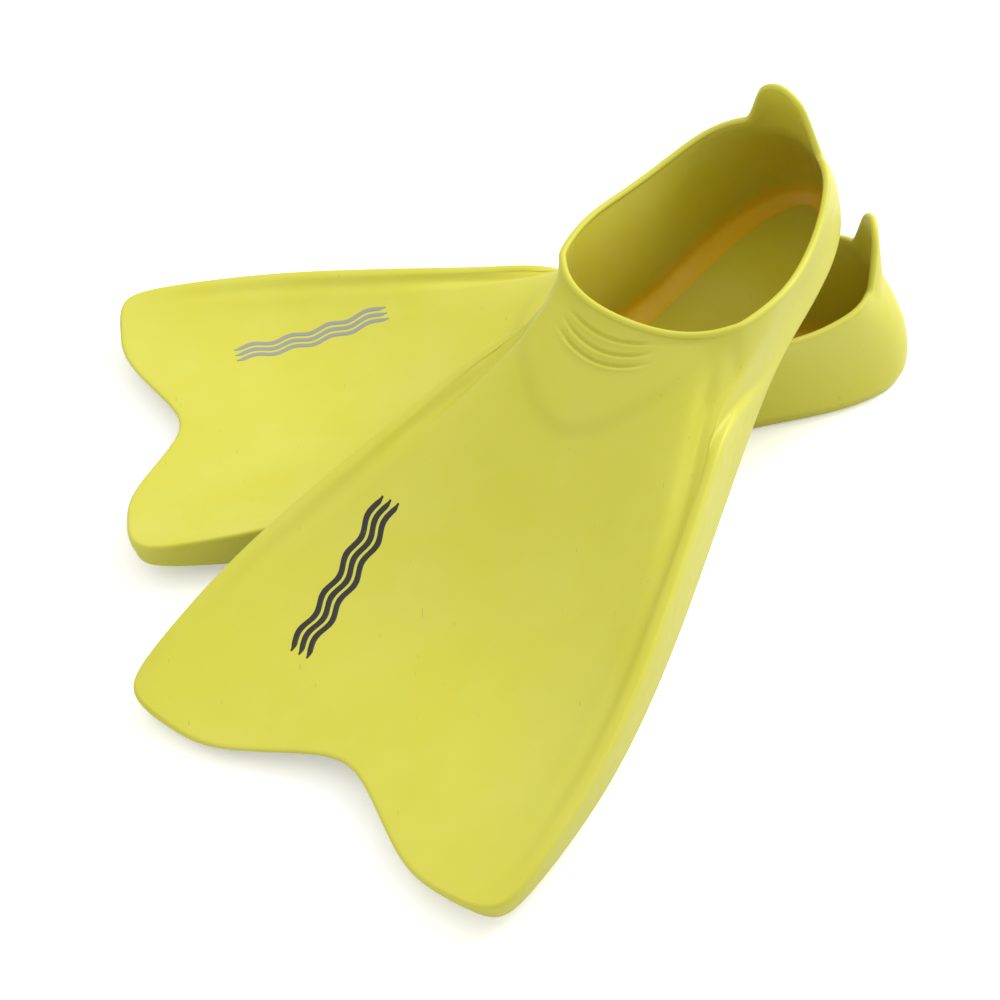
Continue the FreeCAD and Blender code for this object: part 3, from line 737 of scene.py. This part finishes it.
def wave_film(row):
    """One wave as a closed film: a strip along a sine line, tapered at its ends, laid on the blade. Each
    point's height is the blade's nearest grid point's, carried along that point's tangent plane."""
    along_it, across_it = np.meshgrid(np.linspace(-0.5, 0.5, 121), np.linspace(-1, 1, 7), indexing="ij")
    half = MARK_WIDTH * 0.125 * (0.35 + 0.65 * smooth(0.5 - abs(along_it), 0, 0.05))
    across = row * MARK_WIDTH * 0.36 + MARK_WIDTH * 0.1 * np.cos(along_it * 8 * math.pi) + half * across_it
    x = MARK_MIDDLE[0] + MARK_LENGTH * along_it * math.cos(MARK_TURN) - across * math.sin(MARK_TURN)
    y = MARK_MIDDLE[1] + MARK_LENGTH * along_it * math.sin(MARK_TURN) + across * math.cos(MARK_TURN)
    near = upper.reshape(-1, 3)
    tilt = out_of_skin.reshape(-1, 3)
    away = abs(near[:, :2] - MARK_MIDDLE)
    here = (away[:, 0] < MARK_LENGTH) & (away[:, 1] < MARK_LENGTH / 2)
    near, tilt = near[here], tilt[here]
    gap = (x.reshape(-1, 1) - near[:, 0]) ** 2 + (y.reshape(-1, 1) - near[:, 1]) ** 2
    k = np.argmin(gap, axis=1)
    dx, dy = x.reshape(-1) - near[k, 0], y.reshape(-1) - near[k, 1]
    z = (near[k, 2] - (tilt[k, 0] * dx + tilt[k, 1] * dy) / tilt[k, 2]).reshape(x.shape)
    crown = MARK_THICK * np.sqrt(np.maximum(0, 1 - across_it ** 4))
    upper_side = np.stack([x, y, z + crown], axis=-1)
    lower_side = np.stack([x, y, z - MARK_THICK * 0.6 + 0 * crown], axis=-1)
    return upper_side, lower_side


def cells(index):
    """The four-sided faces of a grid of point numbers."""
    return np.stack([index[:-1, :-1], index[1:, :-1], index[1:, 1:], index[:-1, 1:]], axis=-1).reshape(-1, 4)


def border(index):
    """The point numbers once round a grid's border."""
    return np.concatenate([index[:, 0], index[-1, 1:], index[-2::-1, -1], index[0, -2:0:-1]])


def mark_mesh():
    """The three films in one mesh: each a top and a bottom grid, joined round their borders."""
    points, faces, first = [], [], 0
    for row in (-1, 0, 1):
        upper_side, lower_side = wave_film(row)
        rows, columns = upper_side.shape[:2]
        index = first + np.arange(rows * columns).reshape(rows, columns)
        below = index + rows * columns
        above_line, below_line = border(index), border(below)
        wall = np.stack([above_line, below_line, np.roll(below_line, -1), np.roll(above_line, -1)], axis=-1)
        points += [upper_side.reshape(-1, 3), lower_side.reshape(-1, 3)]
        faces += [cells(index), cells(below)[:, ::-1], wall]
        first += 2 * rows * columns
    mesh = bpy.data.meshes.new("mark")
    mesh.from_pydata(np.concatenate(points).tolist(), [], np.concatenate(faces).tolist())
    shape = bmesh.new()
    shape.from_mesh(mesh)
    bmesh.ops.recalc_face_normals(shape, faces=shape.faces)
    shape.to_mesh(mesh)
    shape.free()
    return mesh


def ink_material(name, ink):
    """Printed ink: the silicone's grain, finer and duller, with dust that shows light on it."""
    material, tree, shader, place = new_material(name)
    satin = place_group(
        tree, SATIN, Vector=place, Color=ink,
        Grain_Scale=2600.0, Cloud_Amount=0.02, Dull=0.62, Bright=0.5,
    )
    color = satin.outputs["Color"]
    dusty = place_group(tree, DUST, Vector=place, Color=color, Dust_Color=INK_DUST, Amount=0.6)
    finish_material(tree, shader, dusty.outputs["Color"], satin, 0.2, 0.0001)
    return material


mark = mark_mesh()
for side_name in FINS:
    print_film = put_down(mark, f"{side_name}_wave_print", side_name)
    print_film.data.materials.append(ink_material(f"{side_name}_ink", INKS[side_name]))
    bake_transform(print_film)
    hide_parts(f"{side_name}_fin_printed_mark")

# ---- floor, light and camera ----
# A plain pale floor under a large soft light from behind on the right, a weak one from the left and an even
# pale sky. The floor throws a little less light back than it shows, which keeps the shadows soft.

FLOOR_HALF, FLOOR_LEVEL = 3.0, -0.0006
floor_mesh = bpy.data.meshes.new("floor")
corners = [(x * FLOOR_HALF, y * FLOOR_HALF, FLOOR_LEVEL) for x, y in ((-1, -1), (1, -1), (1, 1), (-1, 1))]
floor_mesh.from_pydata(corners, [], [(0, 1, 2, 3)])
floor = bpy.data.objects.new("floor", floor_mesh)
bpy.context.scene.collection.objects.link(floor)
paper, paper_tree, paper_shader, _ = new_material("pale_floor")
paper_shader.inputs["Base Color"].default_value = (0.93, 0.93, 0.92, 1)
paper_shader.inputs["Roughness"].default_value = 0.9
paper_shader.inputs["Emission Color"].default_value = (1, 1, 1, 1)
paper_shader.inputs["Emission Strength"].default_value = 0.35
dim = paper_tree.nodes.new("ShaderNodeBsdfDiffuse")
dim.inputs["Color"].default_value = (0.78, 0.78, 0.78, 1)
seen = paper_tree.nodes.new("ShaderNodeLightPath").outputs["Is Camera Ray"]
either = paper_tree.nodes.new("ShaderNodeMixShader")
paper_tree.links.new(seen, either.inputs[0])
paper_tree.links.new(dim.outputs["BSDF"], either.inputs[1])
paper_tree.links.new(paper_shader.outputs["BSDF"], either.inputs[2])
paper_tree.links.new(either.outputs["Shader"], paper_tree.nodes["Material Output"].inputs["Surface"])
floor_mesh.materials.append(paper)

world = bpy.data.worlds.new("sky")
world.use_nodes = True
world.node_tree.nodes["Background"].inputs["Color"].default_value = (1.0, 1.0, 1.0, 1)
world.node_tree.nodes["Background"].inputs["Strength"].default_value = 0.80
bpy.context.scene.world = world
bpy.context.scene.view_settings.view_transform = "Standard"


def soft_light(name, place, aim, width, power):
    """A square area light at a place, facing a point."""
    light = bpy.data.lights.new(name, "AREA")
    light.shape, light.size, light.energy = "SQUARE", width, power
    holder = bpy.data.objects.new(name, light)
    bpy.context.scene.collection.objects.link(holder)
    facing(holder, place, aim)


def facing(holder, place, aim):
    """Puts a light or a camera at a place, looking at a point with +Z up."""
    holder.location = place
    holder.rotation_euler = (Vector(aim) - Vector(place)).to_track_quat("-Z", "Y").to_euler()


soft_light("key", (1.05, 0.75, 1.3), (0, 0, 0.05), 1.1, 26)
soft_light("fill", (-1.2, -0.3, 1.4), (0, 0, 0.05), 1.6, 3)

CAMERA_AIM = np.array([-0.208, -0.138, 0.030])  # from the lower fin's heel
CAMERA_ELEVATION, CAMERA_DISTANCE, CAMERA_LENS = math.radians(41.0), 0.9154, 72.2
aim = PLACES["lower"][1] * (1, 1, 0) + CAMERA_AIM
camera_data = bpy.data.cameras.new("camera")
camera_data.lens, camera_data.sensor_width = CAMERA_LENS, 36.0
camera = bpy.data.objects.new("camera", camera_data)
bpy.context.scene.collection.objects.link(camera)
away = CAMERA_DISTANCE * np.array([0, -math.cos(CAMERA_ELEVATION), math.sin(CAMERA_ELEVATION)])
facing(camera, tuple(aim + away), tuple(aim))
bpy.context.scene.camera = camera
